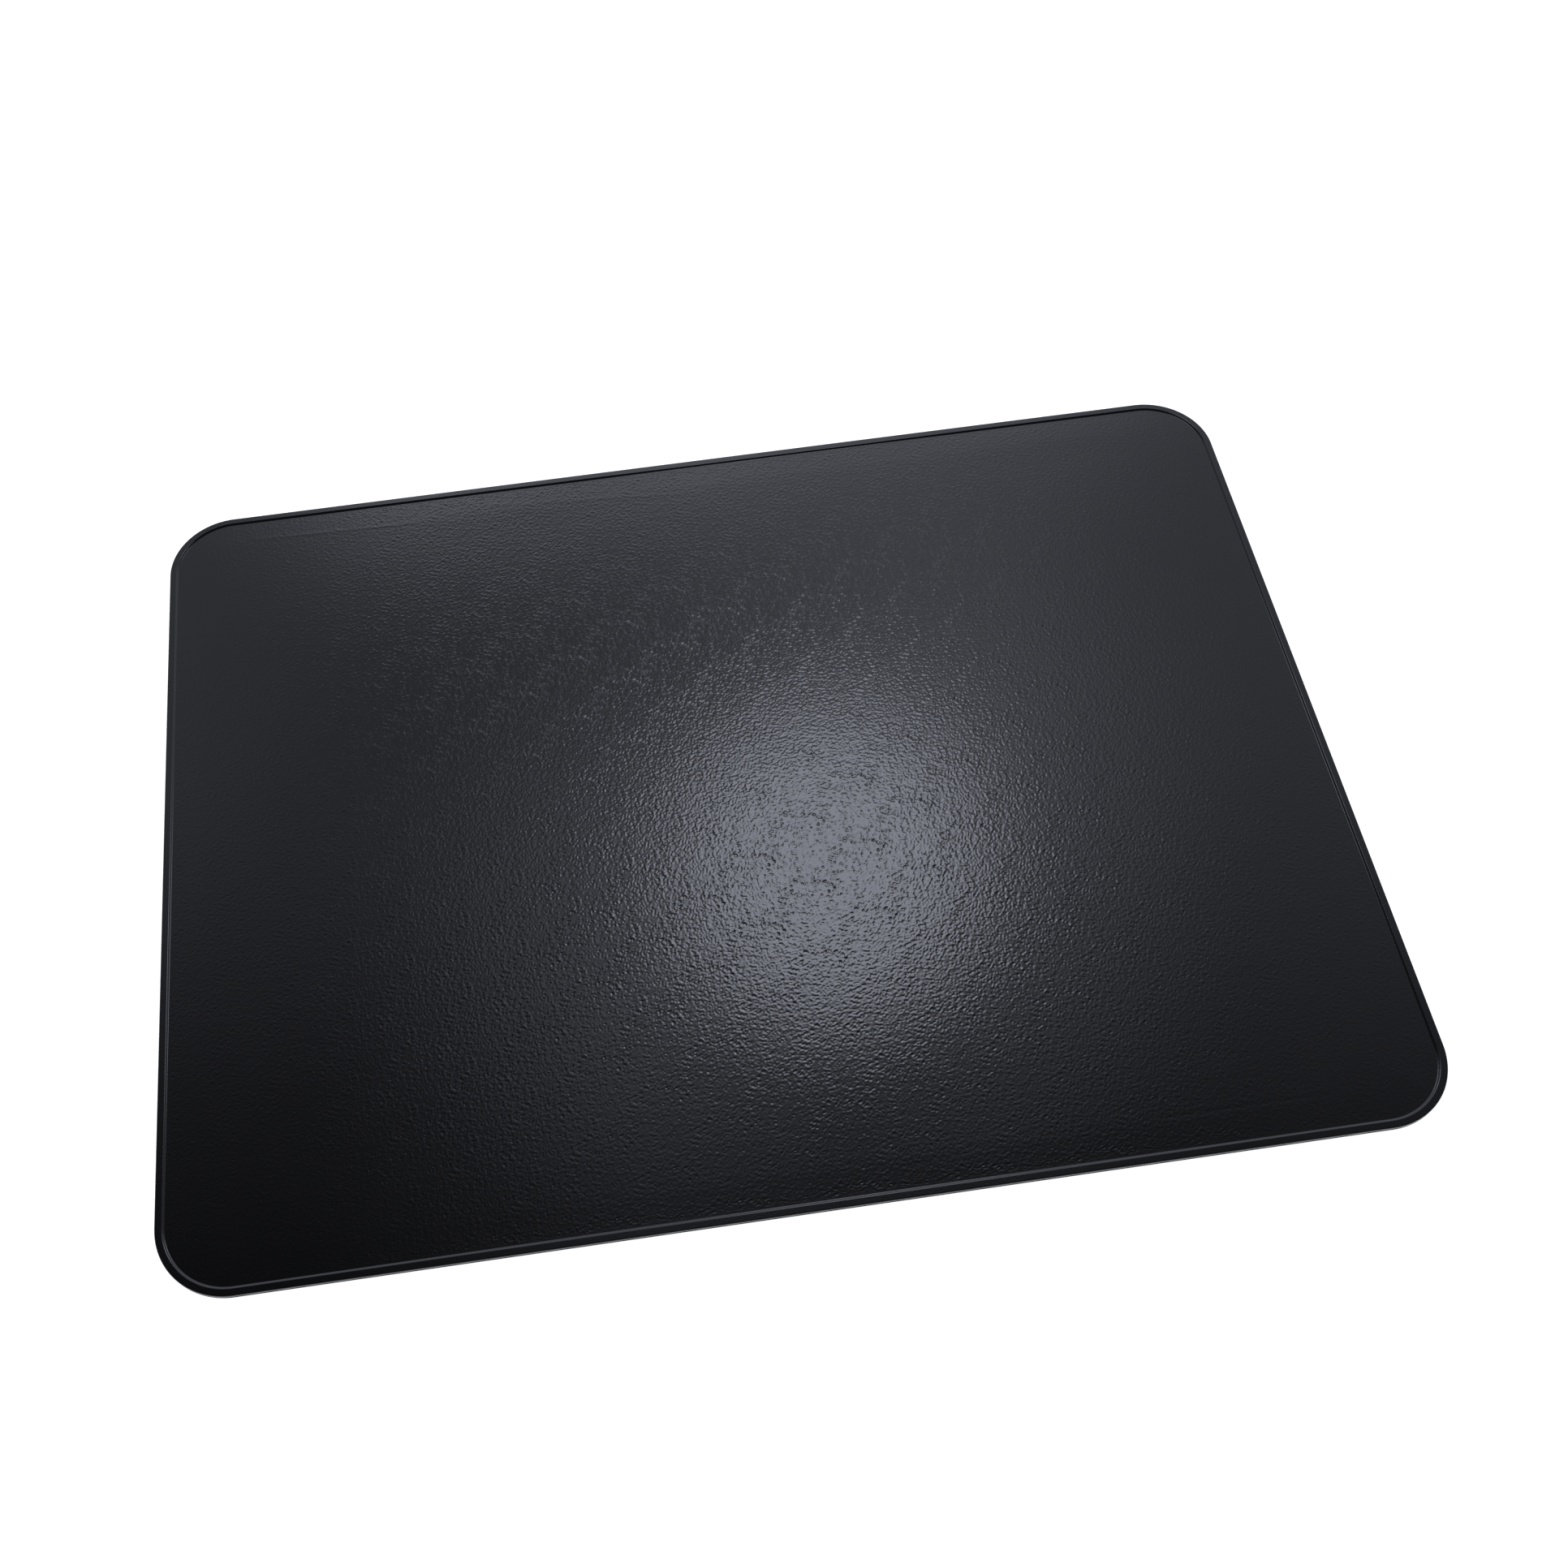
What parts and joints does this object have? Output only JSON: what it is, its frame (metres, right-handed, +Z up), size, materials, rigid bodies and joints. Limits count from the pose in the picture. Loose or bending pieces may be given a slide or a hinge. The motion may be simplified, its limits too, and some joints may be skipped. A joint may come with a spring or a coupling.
{
  "type": "self healing mat",
  "caption": "Thin flat self healing cutting mat with rounded corners, a leather-grained work face pressed in slightly inside a smooth raised rim, and a plain underside.",
  "frame": {"origin": "centre of the mat on the plane it rests on", "axes": "+X along the long side, +Y along the short side towards the back, +Z up out of the work face"},
  "size_m": [0.6096, 0.4572, 0.003],
  "materials": {
    "grained_skin": "soft black PVC, fine leather-like embossing, satin",
    "backing": "black semi-rigid PVC film, matt cut edge",
    "core": "dark grey stiff sheet, matt",
    "plain_skin": "soft black PVC, fine matt texture"
  },
  "bodies": {
    "root": {"top_skin": "grained_skin", "upper_backing_layer": "backing", "core_sheet": "core", "lower_backing_layer": "backing", "bottom_skin": "plain_skin"}
  },
  "joints": []
}
